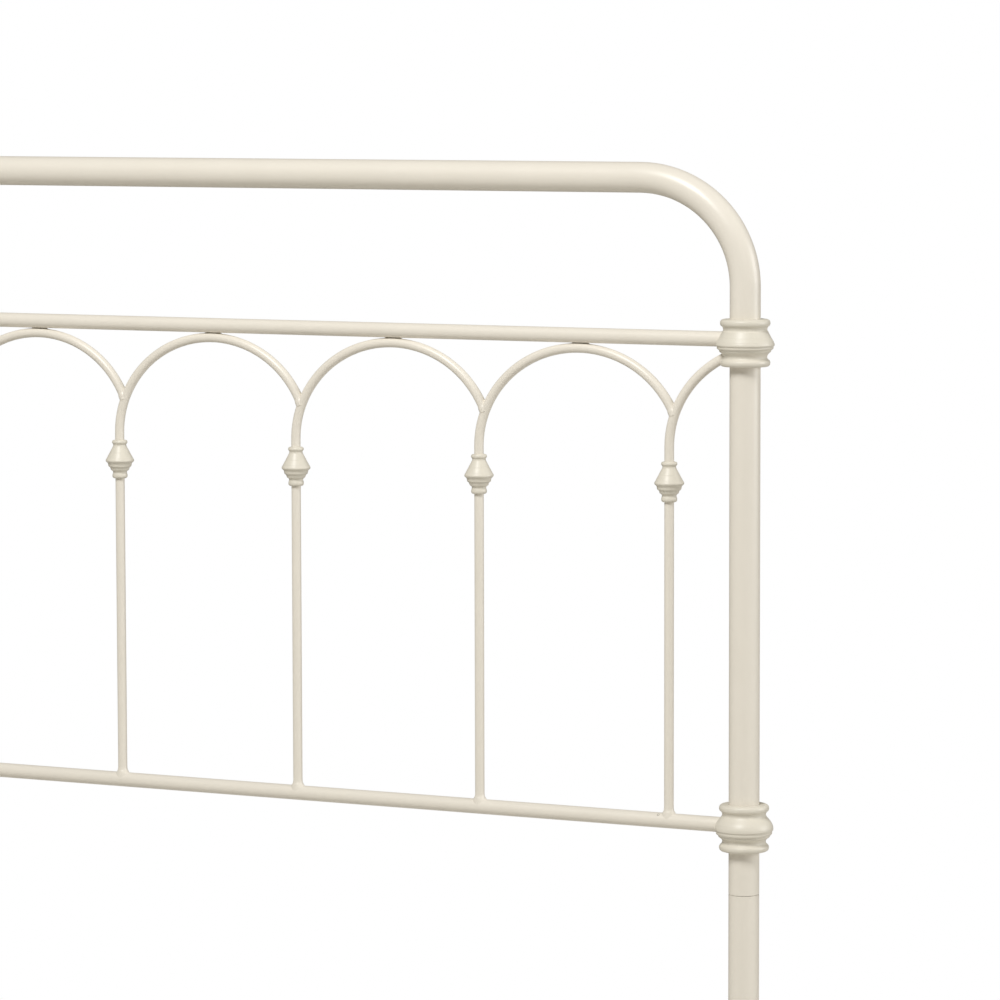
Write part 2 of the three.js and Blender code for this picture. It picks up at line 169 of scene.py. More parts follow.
def plated_metal(name, light, dark, roughness):
    """Metal whose tone and gloss drift together in cloudy patches."""
    material, tree, output, where = new_material(name)
    cloud = add(tree, "ShaderNodeTexNoise", Vector=where, Scale=per_metre(3), Detail=3.0)
    tone = add(tree, "ShaderNodeMix", {"data_type": "RGBA"}, _0=cloud.outputs["Fac"], _6=linear(dark),
               _7=linear(light))
    rough = add(tree, "ShaderNodeMapRange", Value=cloud.outputs["Fac"], To_Min=roughness - 0.06,
                To_Max=roughness + 0.1)
    shader = add(tree, "ShaderNodeBsdfPrincipled", Base_Color=tone.outputs[2], Metallic=1.0,
                 Roughness=rough.outputs["Result"])
    tree.links.new(shader.outputs[0], output.inputs["Surface"])
    return material


nylon = moulded_nylon("moulded black nylon", "#232220", "#3A3937")
zinc = plated_metal("bright zinc plating", "#C9CBCC", "#A9ACAE", 0.32)
# Painted shade: this dark metal stands for the shade inside each drilled vent hole.
vent_painted_shade = plated_metal("painted vent shade", "#4A4642", "#2B2926", 0.5)
print("small parts:", nylon.name, zinc.name, vent_painted_shade.name)


# %% [markdown]
# ## Making and placing a piece
# Every piece starts as a bmesh. Once its doubles are merged and its faces turned outwards it becomes an
# object at the origin, rides on a body, and stands for the CAD nodes that it replaces. Edges sharper than
# 38 degrees stay crisp and the rest are shaded smooth. A Weighted Normal modifier lets the larger faces
# set the shading, so that a small rounding at its end doesn't tilt the shading of a long tube.

# %% From bmesh to piece
MM = 0.001
MERGE = 0.004 * MM
CRISP = math.radians(38)


def piece(name, bm, material, body="frame", nodes=()):
    """Finishes a bmesh and makes it an object on a body, in place of the given CAD nodes."""
    bmesh.ops.remove_doubles(bm, verts=bm.verts, dist=MERGE)
    bmesh.ops.recalc_face_normals(bm, faces=bm.faces)
    mesh = bpy.data.meshes.new(name)
    bm.to_mesh(mesh)
    bm.free()
    mesh.materials.append(material)
    mesh.polygons.foreach_set("use_smooth", [True] * len(mesh.polygons))
    mesh.set_sharp_from_angle(angle=CRISP)
    made = bpy.data.objects.new(name, mesh)
    made.modifiers.new("flat stays flat", "WEIGHTED_NORMAL").keep_sharp = True
    bpy.context.scene.collection.objects.link(made)
    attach(made, body)
    if nodes:
        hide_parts(*nodes)
    return made


def middle(node):
    """Centre of a CAD node's box, in millimetres."""
    low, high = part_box(node)
    return [(a + b) / 2 / MM for a, b in zip(low, high)]


def span(node, axis):
    """Lowest and highest place of a CAD node along an axis, in millimetres."""
    low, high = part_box(node)
    return low[axis] / MM, high[axis] / MM


# %% [markdown]
# ## Bent tubes and bars
# A tube bender keeps the section round and turns it along the bend. The same is done here: one circle is
# made, and its edge loop is extruded and carried from station to station, always square to the route. A
# bar is one such sweep with both ends filled. A tube is two sweeps, one inside the other, with a ring of
# faces at each end. Each edge of the outer rim is joined to the edge of the bore nearest to it, because
# bridge_loops can pair two rims half a turn apart.

# %% Sweep a circle along stations
def placed(station, y):
    """Frame of a station (x, z, heading, radius) in the plane of a board at y, all in millimetres."""
    x, z, heading, radius = station
    c, s = math.cos(heading), math.sin(heading)
    across, depth, ahead = Vector((-s, 0, c)) * radius, Vector((0, -1, 0)) * radius, Vector((c, 0, s))
    matrix = Matrix((across * MM, depth * MM, ahead * MM)).transposed().to_4x4()
    return Matrix.Translation((x * MM, y * MM, z * MM)) @ matrix


def sweep(bm, stations, y, sides):
    """Skin along the stations. Returns the edge loops at both ends, and the verts of the last one."""
    frames = [placed(s, y) for s in stations]
    verts = bmesh.ops.create_circle(bm, segments=sides, radius=1, matrix=frames[0])["verts"]
    first = loop = list({e for v in verts for e in v.link_edges})
    for before, after in zip(frames, frames[1:]):
        made = bmesh.ops.extrude_edge_only(bm, edges=loop)["geom"]
        verts = [g for g in made if isinstance(g, bmesh.types.BMVert)]
        loop = [g for g in made if isinstance(g, bmesh.types.BMEdge) and all(v in verts for v in g.verts)]
        bmesh.ops.transform(bm, matrix=after @ before.inverted(), verts=verts)
    return first, loop, verts


def bar(bm, stations, y, sides):
    """Solid round bar along the stations."""
    first, last, _ = sweep(bm, stations, y, sides)
    for loop in (first, last):
        bmesh.ops.edgeloop_fill(bm, edges=loop)


def nearest(verts, place):
    """The vert that is closest to a place."""
    return min(verts, key=lambda v: (v.co - place).length)


def tube(bm, stations, wall, y, sides):
    """Hollow round tube along the stations, with its wall inside their radius."""
    outer = sweep(bm, stations, y, sides)
    inner = sweep(bm, [(x, z, h, r - wall) for x, z, h, r in stations], y, sides)
    for outer_rim, inner_rim in zip(outer[:2], inner[:2]):
        bore = {v for e in inner_rim for v in e.verts}
        for edge in outer_rim:
            a, b = edge.verts
            bm.faces.new((a, b, nearest(bore, b.co), nearest(bore, a.co)))


# %% [markdown]
# Routes are lists of stations. A straight run needs one at each end, and a bend one every few degrees so
# that its outline looks round.

# %% Straight and bent runs
UP, AHEAD, DOWN = math.pi / 2, 0.0, -math.pi / 2


def bend(x, z, half_span, rise, start, stop, radius, steps):
    """Stations on part of an ellipse, with angle 0 at its left-hand end and half a turn at the right."""
    found = []
    for i in range(steps + 1):
        angle = start + (stop - start) * i / steps
        heading = math.atan2(rise * math.cos(angle), half_span * math.sin(angle))
        found.append((x - half_span * math.cos(angle), z + rise * math.sin(angle), heading, radius))
    return found


# %% [markdown]
# ## Sizes that both boards share
# Heights are measured from the axis of each board's middle rail, because the arched panel hangs from it
# and is the same on both boards. The rest comes from the boxes of the CAD nodes. Everything is in
# millimetres.

# %% Sizes of both boards
POST_R, POST_WALL = 19.05, 1.5
RAIL_R, RAIL_WALL = 9.5, 1.2
BAR_R = 6.0
BEND_SPAN, BEND_RISE = 142, 133  # the bow's corner: half an ellipse's width, and its height
PANEL_TOP = 197.5  # from the middle rail up to the bow's axis
SPRINGING = 143.7  # from the middle rail down to where the hoops start to bend
KNOT_DROP = 178.7  # from the middle rail down to the knots
CROWN_GAP = 0.5  # between a hoop and the middle rail, in front of the weld
HOOP_HALF, HOOP_RISE = 141, SPRINGING - RAIL_R - BAR_R - CROWN_GAP
END_STILT = 8  # how much taller the last hoop stands
EDGE = 0.5  # rounding of a cut tube's rim
TUBE_SIDES, RAIL_SIDES, BAR_SIDES = 56, 40, 32
BOARDS = ("headboard", "footboard")
SIDES = {"left": -1, "right": 1}
post_x = middle("headboard_leg_right")[0]
spindle_x = [middle(f"headboard_spindle_{i}")[0] for i in range(1, 7)]
spacing = spindle_x[1] - spindle_x[0]
board_y = {board: middle(f"{board}_middle_rail")[1] for board in BOARDS}
upper_z = {board: middle(f"{board}_middle_rail")[2] for board in BOARDS}
lower_z = {board: middle(f"{board}_lower_rail")[2] for board in BOARDS}
print("post x", round(post_x, 1), "spindles", [round(x, 1) for x in spindle_x])


# %% [markdown]
# ## The bows
# Each bow is a single length of 38 mm tube with two wide bends. The headboard's ends stop above the
# floor, where its legs plug in, and the rim of each end is slightly rounded, so the joint reads as a fine
# dark line. The footboard's bow goes all the way down.

# %% Bows
BOW_STEPS = 24


def bow(board):
    bottom = span(f"{board}_bow", 2)[0]
    top = upper_z[board] + PANEL_TOP
    x, z = post_x - BEND_SPAN, top - BEND_RISE
    rim = [(bottom, POST_R - EDGE), (bottom + EDGE * 0.3, POST_R - EDGE * 0.3), (bottom + EDGE, POST_R)]
    stations = [(-post_x, height, UP, radius) for height, radius in rim]
    stations += bend(-x, z, BEND_SPAN, BEND_RISE, 0, math.pi / 2, POST_R, BOW_STEPS)
    stations += bend(x, z, BEND_SPAN, BEND_RISE, math.pi / 2, math.pi, POST_R, BOW_STEPS)
    stations += [(post_x, height, DOWN, radius) for height, radius in reversed(rim)]
    bm = bmesh.new()
    tube(bm, stations, POST_WALL, board_y[board], TUBE_SIDES)
    made = piece(f"{board}_bent_tube", bm, ivory, nodes=[f"{board}_bow"])
    print(made.name, len(made.data.polygons), "faces")


for board in BOARDS:
    bow(board)


# %% [markdown]
# ## Turned shapes
# Castings, plugs and feet are solids of revolution, so a profile is drawn from the axis outwards and spun
# once round. Smooth stretches of a profile are drawn with a curve through a few measured points, and
# corners keep their own point.

# %% Spin a profile
def through(points, per=4):
    """Points on a smooth curve through the given (radius, height) pairs."""
    ends = [points[0], *points, points[-1]]
    found = []
    for a, b, c, d in zip(ends, ends[1:], ends[2:], ends[3:]):
        for i in range(per):
            t = i / per
            found.append(tuple(
                (2 * q + (r - p) * t + (2 * p - 5 * q + 4 * r - s) * t ** 2
                 + (3 * q - p - 3 * r + s) * t ** 3) / 2 for p, q, r, s in zip(a, b, c, d)))
    return [*found, points[-1]]


def spun(bm, profile, x=0, y=0, z=0, steps=48, closed=False, turn=None):
    """Spins (radius, height) pairs about the upright axis at x, y. A turn matrix lays the solid over.
    A closed profile is a ring, and any other starts and ends on the axis."""
    verts = [bm.verts.new((r * MM, 0, h * MM)) for r, h in profile]
    pairs = list(zip(verts, verts[1:])) + ([(verts[-1], verts[0])] if closed else [])
    edges = [bm.edges.new(pair) for pair in pairs]
    before = set(bm.verts) - set(verts)
    bmesh.ops.spin(bm, geom=verts + edges, cent=(0, 0, 0), axis=(0, 0, 1), angle=2 * math.pi, steps=steps,
                   use_merge=True)
    made = [v for v in bm.verts if v not in before]
    place = Matrix.Translation((x * MM, y * MM, z * MM)) @ (turn or Matrix())
    bmesh.ops.transform(bm, matrix=place, verts=made)
    return made


# %% [markdown]
# ## Collars
# The collars are iron, cast in two-part moulds: a rounded rim at each end, a neck, and a swelling in the
# middle, which comes to an edge on the upper collars and is rounder on the lower ones. The mould's halves
# leave a faint raised line down the two sides.

# %% Collars
LOWER_RIM = [(19.4, -29.1), (26.2, -29.2), (28.4, -28.8), (30.3, -27.2), (31, -24.5), (30.3, -22),
             (28.4, -20.2), (27.3, -18.7), (27.1, -17)]
UPPER_RIM = [(27.2, 16.4), (27.3, 17.6), (28.2, 19.8), (30.3, 21.6), (31, 24.5), (30.3, 27.2), (28.4, 28.8),
             (26.2, 29.2), (19.4, 29.1)]
EDGED = [(27.3, -15.8), (28.3, -14), (30.1, -12.2), (31.4, -11.2), (31.9, -10.4), (32.1, -9.4),
         (32.6, -8.5), (34, -7.7), (34.7, -7), (34.9, -6), (34.8, -5), (35, -4.3), (35.9, -3.6),
         (36.3, -2.7), (36.2, -1.8), (35.7, 0), (35.2, 0.9), (35.1, 1.5), (34.9, 1.9), (33.8, 3.7),
         (32.5, 5.8), (32.1, 6.3), (31.9, 6.9), (29.4, 11.6), (28.2, 14.1), (27.3, 15.1)]
ROUNDED = [(26.8, -16.6), (27.3, -15.4), (28.9, -13.4), (31, -11.9), (31.9, -11), (32.1, -10.2),
           (32.4, -9.4), (34, -8.3), (34.7, -7.3), (34.9, -6), (34.8, -4.9), (35.1, -4), (36, -3.1),
           (36.3, -1.9), (36.3, -0.5), (36.1, 1.2), (35.3, 3.7), (34.9, 4.5), (34.7, 5.1), (33.2, 7.6),
           (31, 10.4), (28.9, 12.9), (27.5, 14.9)]
MOULD_LINE = 0.22  # height of the raised line
COLLAR_STEPS = 96


def mould_line(verts, x, y):
    """Raises the outer verts in the plane of the board, where the two halves of the mould met."""
    for v in verts:
        away = v.co.x - x * MM
        if abs(v.co.y - y * MM) < 0.2 * MM and abs(away) > (POST_R + 2) * MM:
            v.co.x += math.copysign(MOULD_LINE * MM, away)


def collar(node, board, swelling):
    x, y, z = math.copysign(post_x, middle(node)[0]), board_y[board], middle(node)[2]
    bm = bmesh.new()
    profile = [LOWER_RIM[0], *through(LOWER_RIM[1:] + swelling + UPPER_RIM[:-1], 3), UPPER_RIM[-1]]
    verts = spun(bm, profile, x, y, z, COLLAR_STEPS, closed=True)
    mould_line(verts, x, y)
    piece(f"{node}_casting", bm, ivory_castings, nodes=[node])


for board in BOARDS:
    for level, swelling in (("upper", EDGED), ("lower", ROUNDED)):
        for hand in SIDES:
            collar(f"{board}_{level}_collar_{hand}", board, swelling)
print("collars: 8 castings")


# %% [markdown]
# ## Cross rails
# Straight 19 mm tube, with its ends deep inside the collars. A small vent is drilled in each lower rail
# beside the last spindle, so hot air can leave the tube while the coat is baked.
# The vent is not cut: a shallow dark dish stands on the rail, and its colour is painted shade for the dark
# inside of the hole.

# %% Cross rails and vents
VENT_LEAN = math.radians(52)  # how far up from the front the vent is drilled
VENT_OFF = 12  # from the axis of the last spindle
VENT = [(0, -0.5), (1.0, -0.4), (1.35, 0), (1.6, -0.05), (1.7, -0.6), (0, -1.2)]


def cross_rail(board, level, z):
    low, high = span(f"{board}_{level}_rail", 0)
    bm = bmesh.new()
    stations = [(x, z, AHEAD, RAIL_R) for x in (low, 0, high)]
    tube(bm, stations, RAIL_WALL, board_y[board], RAIL_SIDES)
    piece(f"{board}_{level}_cross_rail", bm, ivory, nodes=[f"{board}_{level}_rail"])


# A shallow dish whose dark colour is painted shade, in place of a drilled hole.
def vent(board):
    reach = RAIL_R + 0.06
    y = board_y[board] - reach * math.cos(VENT_LEAN)
    z = lower_z[board] + reach * math.sin(VENT_LEAN)
    bm = bmesh.new()
    outwards = Matrix.Rotation(math.pi / 2 - VENT_LEAN, 4, "X")
    spun(bm, VENT, spindle_x[-1] - VENT_OFF, y, z, 24, turn=outwards)
    piece(f"{board}_vent", bm, vent_painted_shade)


for board in BOARDS:
    cross_rail(board, "middle", upper_z[board])
    cross_rail(board, "lower", lower_z[board])
    vent(board)
print("cross rails: 4, vents: 2")


# %% [markdown]
# ## Spindles
# The spindles are 12 mm bar. Each stands on the lower rail with a smooth ring of weld, so the last rings
# of its sweep flare out and are dropped on to the rail's round back.

# %% Spindles
FLARE = [(14, 0), (7, 0), (4.2, 0.35), (2.6, 0.9), (1.4, 1.7), (0.3, 2.9)]  # height, extra radius
IN_KNOT_FOOT, IN_KNOT_TOP = 22, 20  # how far from a knot's middle the spindle ends and the hoop starts
SUNK = 0.1  # how deep the weld's rim lies in the rail


def on_rail(verts, y, z):
    """Drops verts on to the top of the cross rail whose axis is at y, z, and a hair into it."""
    for v in verts:
        off = v.co.y / MM - y
        v.co.z = (z - SUNK + math.sqrt(max(RAIL_R ** 2 - off ** 2, 0))) * MM


def spindle(board, number, x):
    y, z = board_y[board], lower_z[board]
    bm = bmesh.new()
    stations = [(x, upper_z[board] - KNOT_DROP - IN_KNOT_FOOT, DOWN, BAR_R)]
    stations += [(x, z + RAIL_R + height, DOWN, BAR_R + extra) for height, extra in FLARE]
    first, last, verts = sweep(bm, stations, y, BAR_SIDES)
    on_rail(verts, y, z)
    for loop in (first, last):
        bmesh.ops.edgeloop_fill(bm, edges=loop)
    piece(f"{board}_spindle_{number}_bar", bm, ivory, nodes=[f"{board}_spindle_{number}"])


for board in BOARDS:
    for number, x in enumerate(spindle_x, 1):
        spindle(board, number, x)
print("spindles:", 2 * len(spindle_x))


# %% [markdown]
# ## Knots
# Between each spindle and its hoop sits a small casting: a smooth cone above, a sharp edge round the
# middle, a stepped cone below, and a bead at either end. On the footboard, the CAD has each knot in its
# spindle's node, and so only the headboard's knots stand for nodes of their own.

# %% Knots
KNOT = [(0, -25.5), (7.9, -25.5), (9.2, -24.7), (9.9, -23.3), (10, -21.8), (9.7, -20.2), (9.2, -18.7),
        (9.1, -17.4), (9.4, -16.4), (10.3, -15.6), (11.5, -14.8), (12, -14), (12.3, -13),
        (12.7, -11.9), (13.2, -11.2), (14.3, -10.3), (15, -9.5), (15.2, -8.7), (15.4, -7.5),
        (15.8, -6), (16.3, -5.2), (17.3, -4.3), (18.2, -3.4), (18.6, -2.4), (18.5, -1.3), (17.7, 0.3),
        (16.9, 1.3), (16.7, 1.9), (16.3, 2.7), (14.2, 6.6), (13.3, 8), (13.1, 8.7), (12.7, 9.5),
        (10.8, 13), (9.4, 15.6), (8.7, 17.4), (8.6, 18.8), (9, 19.8), (9.9, 20.8), (10.1, 22),
        (9.8, 23.4), (8.9, 24.4), (6.6, 24.9), (0, 25.5)]
KNOT_STEPS = 64
for board in BOARDS:
    for number, x in enumerate(spindle_x, 1):
        bm = bmesh.new()
        profile = [KNOT[0], *through(KNOT[1:-1], 2), KNOT[-1]]
        spun(bm, profile, x, board_y[board], upper_z[board] - KNOT_DROP, KNOT_STEPS)
        nodes = [f"{board}_knot_{number}"] if board == "headboard" else []
        piece(f"{board}_knot_{number}_casting", bm, ivory_castings, nodes=nodes)
print("knots:", 2 * len(spindle_x))


# %% [markdown]
# ## Hoops
# Each hoop stands on a knot, rises straight, bends over under the middle rail and is butt-welded to the
# side of the next hoop. The last one stands a little taller and runs into the right-hand collar, and a
# short piece comes out of the left-hand collar. The end that lands flares into its weld.

# %% Where a hoop ends
def landing(stilt):
    """Angle at which a hoop meets the axis of the next one, which stands this much taller. Halving the
    range again and again finds it."""
    low, high = 0.7 * math.pi, math.pi
    for _ in range(40):
        angle = (low + high) / 2
        height = HOOP_RISE * math.sin(angle) - stilt
        next_x = spacing - HOOP_HALF * math.sqrt(1 - (height / HOOP_RISE) ** 2)
        if -HOOP_HALF * math.cos(angle) < next_x:
            low = angle
        else:
            high = angle
    return low


WELD_SWELL, WELD_LENGTH = 0.7, 4


def flared(stations):
    """Widens the last stations where a bar's end is welded to the side of the next bar."""
    end_x, end_z = stations[-1][:2]
    found = []
    for x, z, heading, radius in stations:
        left = max(math.hypot(x - end_x, z - end_z) - BAR_R, 0)
        found.append((x, z, heading, radius + WELD_SWELL * max(1 - left / WELD_LENGTH, 0) ** 2))
    return found


print("a hoop lands after", round(math.degrees(landing(0))), "degrees")

# %% Hoops
IN_COLLAR = 16  # the end hoops stop this far short of the post's axis
NEAR_WELD = 0.16  # the last part of a hoop, in radians, has closer stations for its weld
BODY_STEPS, SHORT_STEPS, LAST_STEPS, WELD_STEPS = 56, 24, 28, 14


def hoop_stations(board, index):
    x = spindle_x[0] + (index - 1) * spacing
    last = index == len(spindle_x)
    z = upper_z[board] - SPRINGING + (END_STILT if last else 0)
    bay = post_x - spindle_x[-1]

    def arc(start, stop, steps):
        return bend(x + HOOP_HALF, z, HOOP_HALF, HOOP_RISE, start, stop, BAR_R, steps)

    rise = [(x, upper_z[board] - KNOT_DROP + IN_KNOT_TOP, UP, BAR_R)]
    if last:
        return rise + arc(0, math.acos(1 - (bay - IN_COLLAR) / HOOP_HALF), LAST_STEPS)
    stop = landing(END_STILT if index == len(spindle_x) - 1 else 0)
    near = stop - NEAR_WELD
    if index == 0:
        start = math.acos(1 - (spacing - bay + IN_COLLAR) / HOOP_HALF)
        return flared(arc(start, near, SHORT_STEPS)[:-1] + arc(near, stop, WELD_STEPS))
    return flared(rise + arc(0, near, BODY_STEPS)[:-1] + arc(near, stop, WELD_STEPS))


for board in BOARDS:
    for index in range(len(spindle_x) + 1):
        bm = bmesh.new()
        bar(bm, hoop_stations(board, index), board_y[board], BAR_SIDES)
        if board == "headboard":
            nodes = [f"headboard_hoop_{index + 1}"]
        else:
            nodes = ["footboard_arcade"] if index == 0 else []
        piece(f"{board}_hoop_{index + 1}_bar", bm, ivory, nodes=nodes)
print("hoops:", 2 * (len(spindle_x) + 1))


# %% [markdown]
# ## Crown welds
# Each full hoop is held under the middle rail by a short run of weld at the back, where nobody sees it,
# so the front shows a fine dark line. A run is a bar that swells in the middle and tapers away at both
# ends.

# %% Crown welds
WELD_HALF, WELD_R, WELD_TIP = 13, 1.5, 0.35
WELD_BACK, WELD_DROP = 3.3, 0.9  # behind the board's middle plane, and below the rail


def crown_weld(bm, board, x):
    """A run of weld on the back of the hoop whose crown is at x."""
    z = upper_z[board] - RAIL_R - WELD_DROP
    run = []
    for i in range(13):
        u = i / 6 - 1
        radius = WELD_TIP + WELD_R * math.sqrt(max(0, 1 - u * u))
        run.append((x + WELD_HALF * u, z - 0.55 * u * u, AHEAD, radius))
    bar(bm, run, board_y[board] + math.copysign(WELD_BACK, board_y[board]), 12)


for board in BOARDS:
    bm = bmesh.new()
    for x in spindle_x[:-1]:
        crown_weld(bm, board, x + HOOP_HALF)
    piece(f"{board}_crown_welds", bm, ivory)
print("crown welds on", len(BOARDS), "boards")

# %% [markdown]
# ## Headboard legs and lock bolts
# A leg's upper end is drawn down so that it slides inside the bow, and a button-head bolt through the
# back of the tube locks it. The leg is spun from a profile with its wall, spigot and tapped plug.

# %% Headboard legs
SPIGOT_R, SPIGOT_BORE = 16.9, 15.2
BORE_R = POST_R - POST_WALL
TAPPED_R, PLUG_HEIGHT = 5.3, 6
JOINT_GAP = 0.5


def leg(node):
    low, high = span(node, 2)
    joint = span("headboard_bow", 2)[0] - JOINT_GAP
    foot = [(TAPPED_R, low), (POST_R - 0.8, low), (POST_R, low + 0.8)]
    shoulder = [(POST_R, joint - EDGE), (POST_R - EDGE * 0.3, joint - EDGE * 0.3), (POST_R - EDGE, joint)]
    spigot = [(SPIGOT_R, joint), (SPIGOT_R, high - 3), (SPIGOT_R - 0.7, high), (SPIGOT_BORE, high)]
    inside = [(SPIGOT_BORE, joint - 4), (BORE_R, joint - 10), (BORE_R, low + PLUG_HEIGHT),
              (TAPPED_R, low + PLUG_HEIGHT)]
    bm = bmesh.new()
    spun(bm, foot + shoulder + spigot + inside, middle(node)[0], board_y["headboard"], 0, TUBE_SIDES,
         closed=True)
    piece(f"{node}_tube", bm, ivory, nodes=[node])


for hand in SIDES:
    leg(f"headboard_leg_{hand}")
print("legs: 2")


# %% [markdown]
# The bolt's head is a low dome with a hexagon socket. Its rings all have the same number of points, and
# the inner ones are pushed out to a hexagon, so the socket grows out of the round head with no cutting.

# %% Button-head bolts
def button_bolt(bm, profile, socket_from, across_flats, turn, place):
    """Spins a bolt from its profile and makes a hexagon of everything above socket_from near the axis."""
    verts = spun(bm, profile)
    for v in verts:
        radius = math.hypot(v.co.x, v.co.y)
        if v.co.z > socket_from * MM and 0 < radius < across_flats * 0.52 * MM:
            angle = math.atan2(v.co.y, v.co.x) % (math.pi / 3) - math.pi / 6
            wanted = across_flats / 2 * MM / math.cos(angle)
            v.co.x *= wanted / radius
            v.co.y *= wanted / radius
    bmesh.ops.transform(bm, matrix=Matrix.Translation([c * MM for c in place]) @ turn, verts=verts)


BUTTON = [(0, -8), (2.6, -8), (3, -7.5), (3, 0.3), (5.8, 0.3), (6, 0.6), (5.9, 1.3), (5.3, 2.3), (4.2, 3.1),
          (2.8, 3.55), (1.95, 3.6), (1.95, 1.4), (0, 1.2)]
facing_back = Matrix.Rotation(-math.pi / 2, 4, "X")
for hand in SIDES:
    node = f"leg_bolt_{hand}"
    x, z = middle(node)[0], middle(node)[2]
    bm = bmesh.new()
    button_bolt(bm, BUTTON, 1.3, 4, facing_back, (x, board_y["headboard"] + POST_R, z))
    piece(f"{node}_button_head", bm, zinc, nodes=[node])
print("lock bolts: 2")


# %% [markdown]
# ## Footboard plugs
# The footboard's posts end in the same tapped plugs as the legs. Each is a thick ring just inside the
# tube's end.

# %% Footboard plugs
PLUG_R = BORE_R - 0.05
low = span("footboard_bow", 2)[0] + 0.3
high = span("footboard_bow", 2)[0] + PLUG_HEIGHT
for hand, side in SIDES.items():
    bm = bmesh.new()
    ring = [(TAPPED_R, low), (PLUG_R, low), (PLUG_R, high), (TAPPED_R, high)]
    spun(bm, ring, side * post_x, board_y["footboard"], closed=True)
    piece(f"footboard_plug_{hand}", bm, ivory_rails)
print("plugs: 2")


# %% [markdown]
# ## Pressed and folded steel
# Brackets, side rails and end plates are cut and folded from 3 mm sheet or rolled as angle. A flat
# outline becomes a face, and the face is extruded to its length. The rounded corners of rolled steel are
# drawn in the outline, and the end plates' cut edges get a small bevel.

# %% Extrude an outline
def slab(bm, outline, start, stop, place, rounding=0):
    """Extrudes a closed outline of (u, v) pairs from start to stop. place is a function that turns
    (u, v, along) to a point."""
    verts = [bm.verts.new([c * MM for c in place(u, v, start)]) for u, v in outline]
    face = bm.faces.new(verts)
    made = bmesh.ops.extrude_face_region(bm, geom=[face])["geom"]
    far = [g for g in made if isinstance(g, bmesh.types.BMVert)]
    shift = Vector(place(0, 0, stop)) - Vector(place(0, 0, start))
    bmesh.ops.translate(bm, vec=shift * MM, verts=far)
    if rounding:
        both = set(verts) | set(far)
        edges = [e for e in bm.edges if e.verts[0] in both and e.verts[1] in both]
        bmesh.ops.bevel(bm, geom=edges, offset=rounding * MM, offset_type="OFFSET", affect="EDGES",
                        segments=2, profile=0.5, material=-1, clamp_overlap=True)


def box_outline(u0, u1, v0, v1):
    return [(u0, v0), (u1, v0), (u1, v1), (u0, v1)]


# %% [markdown]
# ## Brackets
# A channel 34 mm wide is welded to each post with its web towards the bed. Two slots in the web take the
# side rail's hooks. The web is made of two upright strips, with short bars between and beyond the slots,
# so the slots need no cutting.

# %% Brackets
WEB_OUT = 35  # from the post's axis to the web's outer face
PLATE, HALF = 3, 17  # thickness of the sheet, and half the channel's width
SLOT_HALF, SLOTS = 2.5, ((179.7, 201), (211.7, 233))  # half a slot's width, and each slot's heights
FILLET_LENGTH, FILLET_IN = 26, 4  # length of a weld, and how far it starts from the channel's end


def post_edge(x):
    """Where the post's skin is, this far to the side of its axis."""
    return -math.sqrt((POST_R + 0.1) ** 2 - x * x)


def bracket(end, hand):
    node = f"{end}_bracket_{hand}"
    way = 1 if end == "head" else -1
    low, high = span(node, 2)
    web_in = -WEB_OUT + PLATE

    def place(u, v, w):
        return SIDES[hand] * post_x + u, board_y[f"{end}board"] + way * v, w

    bm = bmesh.new()
    for u0, u1 in ((-HALF, -SLOT_HALF), (SLOT_HALF, HALF)):
        slab(bm, box_outline(u0, u1, -WEB_OUT, web_in), low, high, place)
    levels = [low, *[z for slot in SLOTS for z in slot], high]
    for z0, z1 in zip(levels[::2], levels[1::2]):
        slab(bm, box_outline(-SLOT_HALF, SLOT_HALF, -WEB_OUT, web_in), z0, z1, place)
    for sign in (-1, 1):
        near, far = sorted((sign * (HALF - PLATE), sign * HALF))
        flange = [(near, web_in), (far, web_in), (far, post_edge(far)), (near, post_edge(near))]
        slab(bm, flange, low, high, place)
        # Fillet welds where the flange meets the post, near its top and its bottom.
        toe = sign * (HALF + 0.2)
        fillet = [(toe, post_edge(toe) - 1.8), (toe + sign * 1.6, post_edge(toe) + 1.5),
                  (toe - sign * 1.2, post_edge(toe) + 0.8)]
        slab(bm, fillet, low + FILLET_IN, low + FILLET_IN + FILLET_LENGTH, place)
        slab(bm, fillet, high - FILLET_IN - FILLET_LENGTH, high - FILLET_IN, place)
    piece(f"{node}_channel", bm, ivory, nodes=[node])


for end in ("head", "foot"):
    for hand in SIDES:
        bracket(end, hand)
print("brackets: 4")


# %% [markdown]
# ## Side rails
# Each side rail is rolled angle with an upright flange outside and a flat flange inside, on which the
# slats lie. A plate is welded across each end, and two hooks on it reach through the bracket's slots and
# drop behind the web.

# %% Rolled angle
OUT, LOW = 768, 185  # the angle's outer face and its underside
ANGLE_WIDE, ANGLE_HIGH = 41, 45
ANGLE = [(OUT - ANGLE_WIDE, LOW), (OUT - 1.5, LOW), (OUT - 0.4, LOW + 0.4), (OUT, LOW + 1.5),
         (OUT, LOW + ANGLE_HIGH - 0.6), (OUT - 0.6, LOW + ANGLE_HIGH), (OUT - PLATE + 0.6, LOW + ANGLE_HIGH),
         (OUT - PLATE, LOW + ANGLE_HIGH - 0.6), (OUT - PLATE, LOW + 6), (OUT - 3.9, LOW + 3.9),
         (OUT - 6, LOW + PLATE), (OUT - ANGLE_WIDE + 0.6, LOW + PLATE), (OUT - ANGLE_WIDE, LOW + 2.4)]
PLATE_Z = (170, 238)  # bottom and top of the end plates
HOOK_Z, HOOK_THICK, HOOK_HIGH = (180, 212), 3, 13
END_Y = board_y["headboard"] - WEB_OUT - 0.3  # the end plate's outer face
INSIDE_Y = END_Y - PLATE
WEB_BACK = board_y["headboard"] - WEB_OUT + PLATE + 0.5  # where a hook turns down behind the web
print("side rail", round(2 * END_Y), "mm long")


